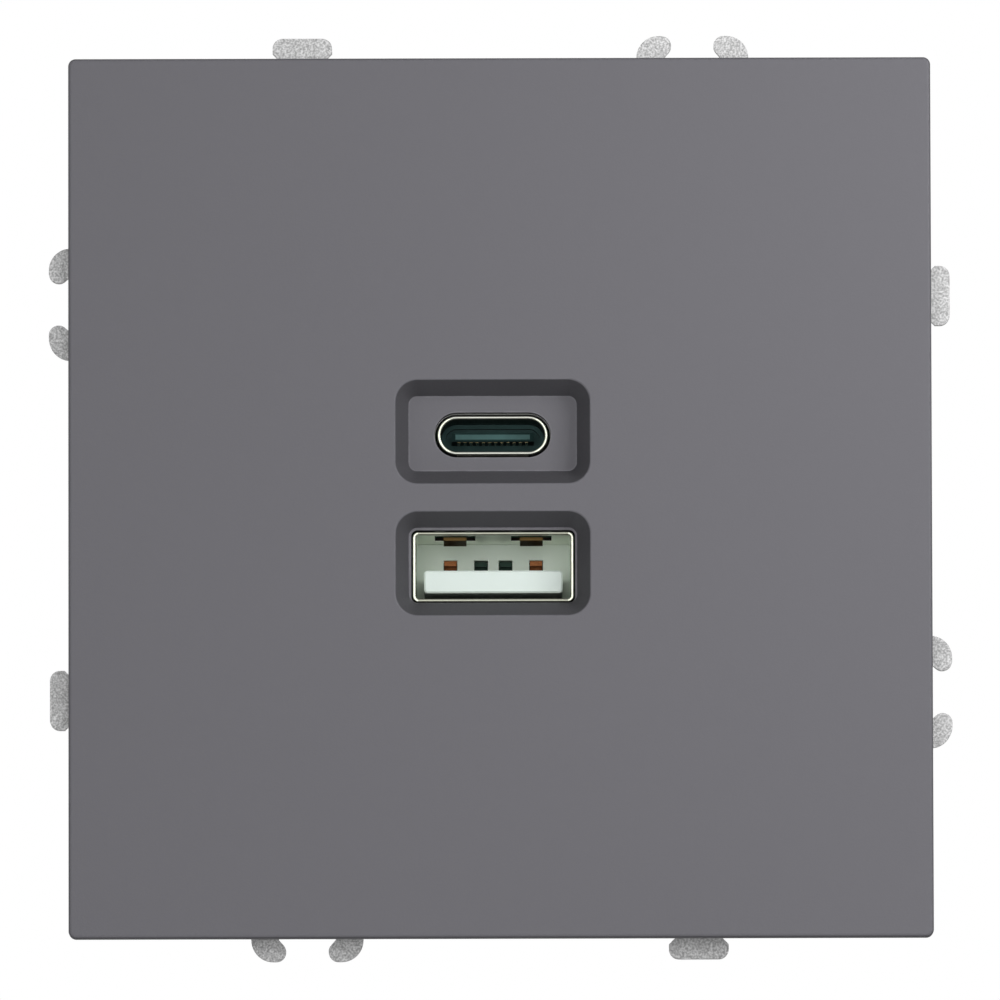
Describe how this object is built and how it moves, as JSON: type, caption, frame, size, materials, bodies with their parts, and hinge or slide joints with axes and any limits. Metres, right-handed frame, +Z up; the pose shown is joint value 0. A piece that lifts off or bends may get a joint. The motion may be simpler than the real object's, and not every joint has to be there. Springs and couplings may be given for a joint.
{
  "type": "usb wall socket",
  "caption": "Flush-mounted charging socket insert: square graphite cover with two bevelled port wells on a stamped steel support, with a charger module and spreading claws behind.",
  "frame": {"origin": "centre of the steel support's rear face, which lies on the wall, midway between the two box screws", "axes": "+X right and +Z up seen from the room, +Y into the wall"},
  "size_m": [0.0734, 0.0388, 0.0754],
  "materials": {
    "cover_plastic": "fine matt graphite moulding",
    "galvanised_steel": "galvanised sheet, fine speckle",
    "housing_plastic": "light grey moulded flame-retardant plastic",
    "spring_steel": "bright spring strip",
    "zinc_steel": "zinc-plated screws and claws",
    "port_shell": "nickel-plated sheet",
    "white_insulator": "white moulded core",
    "dark_insulator": "dark moulded core",
    "contact_copper": "copper alloy contacts",
    "contact_gold": "gold-plated contacts",
    "board_green": "green circuit board",
    "brass": "terminal brass",
    "ferrite": "dark ferrite",
    "bobbin_plastic": "black moulded bobbin",
    "winding_tape": "yellow winding tape",
    "can_sleeve": "sleeved can",
    "fuse_body": "coated resistor",
    "disc_blue": "blue coated disc",
    "film_yellow": "yellow film capacitor box",
    "chip_black": "black moulded package",
    "barrier_film": "amber insulation film"
  },
  "bodies": {
    "module": {"support_frame": "galvanised_steel", "housing_front": "housing_plastic", "housing_rear": "housing_plastic", "cover_clips": "spring_steel", "support_screws": "zinc_steel", "usb_a_shell": "port_shell", "usb_a_insulator": "white_insulator", "usb_a_contacts": "contact_copper", "usb_c_shell": "port_shell", "usb_c_insulator": "dark_insulator", "usb_c_contacts": "contact_gold", "port_board": "board_green", "main_board": "board_green", "board_link_pins": "contact_gold", "insulation_sheet": "barrier_film", "transformer_core": "ferrite", "transformer_bobbin": "bobbin_plastic", "transformer_winding": "winding_tape", "bulk_capacitors": "can_sleeve", "output_capacitors": "can_sleeve", "input_choke": "ferrite", "fuse_resistor": "fuse_body", "surge_absorber": "disc_blue", "suppression_capacitor": "film_yellow", "bridge_rectifier": "chip_black", "primary_controller": "chip_black", "output_rectifier": "chip_black", "port_controller": "chip_black", "live_contact_bar": "brass", "neutral_contact_bar": "brass"},
    "cover": {"front_cover": "cover_plastic"},
    "right_screw": {"right_claw_screw": "zinc_steel"},
    "right_nut": {"right_claw_nut": "zinc_steel"},
    "right_claw": {"right_claw": "zinc_steel"},
    "left_screw": {"left_claw_screw": "zinc_steel"},
    "left_nut": {"left_claw_nut": "zinc_steel"},
    "left_claw": {"left_claw": "zinc_steel"},
    "live_screw": {"live_terminal_screw": "zinc_steel"},
    "live_clamp": {"live_clamp": "zinc_steel"},
    "neutral_screw": {"neutral_terminal_screw": "zinc_steel"},
    "neutral_clamp": {"neutral_clamp": "zinc_steel"}
  },
  "joints": [
    {"name": "cover_pull", "type": "slide", "parent": "module", "child": "cover", "axis": [0, -1, 0], "range_m": [0, 0.02]},
    {"name": "right_claw_screw_turn", "type": "hinge", "parent": "module", "child": "right_screw", "pos_m": [0.0244, 0, -0.0065], "axis": [0, 1, 0], "range_deg": [0, 4320]},
    {"name": "right_claw_nut_run", "type": "slide", "parent": "module", "child": "right_nut", "axis": [0, -1, 0], "range_m": [0, 0.006]},
    {"name": "right_claw_swing", "type": "hinge", "parent": "right_nut", "child": "right_claw", "pos_m": [0.0244, 0.022, -0.0065], "axis": [0, 0, 1], "range_deg": [0, 16]},
    {"name": "left_claw_screw_turn", "type": "hinge", "parent": "module", "child": "left_screw", "pos_m": [-0.0244, 0, 0.0065], "axis": [0, 1, 0], "range_deg": [0, 4320]},
    {"name": "left_claw_nut_run", "type": "slide", "parent": "module", "child": "left_nut", "axis": [0, -1, 0], "range_m": [0, 0.006]},
    {"name": "left_claw_swing", "type": "hinge", "parent": "left_nut", "child": "left_claw", "pos_m": [-0.0244, 0.022, 0.0065], "axis": [0, 0, -1], "range_deg": [0, 16]},
    {"name": "live_terminal_screw_turn", "type": "hinge", "parent": "module", "child": "live_screw", "pos_m": [0.009, 0.0262, -0.015], "axis": [0, 0, 1], "range_deg": [0, 1656]},
    {"name": "live_clamp_run", "type": "slide", "parent": "module", "child": "live_clamp", "axis": [0, 0, -1], "range_m": [0, 0.0023]},
    {"name": "neutral_terminal_screw_turn", "type": "hinge", "parent": "module", "child": "neutral_screw", "pos_m": [-0.009, 0.0262, -0.015], "axis": [0, 0, 1], "range_deg": [0, 1656]},
    {"name": "neutral_clamp_run", "type": "slide", "parent": "module", "child": "neutral_clamp", "axis": [0, 0, -1], "range_m": [0, 0.0023]}
  ],
  "couplings": [
    {"joint": "right_claw_screw_turn", "follows": "right_claw_nut_run", "rad_per_m": 12566},
    {"joint": "right_claw_swing", "follows": "right_claw_nut_run", "rad_per_m": 46.54},
    {"joint": "left_claw_screw_turn", "follows": "left_claw_nut_run", "rad_per_m": 12566},
    {"joint": "left_claw_swing", "follows": "left_claw_nut_run", "rad_per_m": 46.54},
    {"joint": "live_terminal_screw_turn", "follows": "live_clamp_run", "rad_per_m": 12566},
    {"joint": "neutral_terminal_screw_turn", "follows": "neutral_clamp_run", "rad_per_m": 12566}
  ]
}
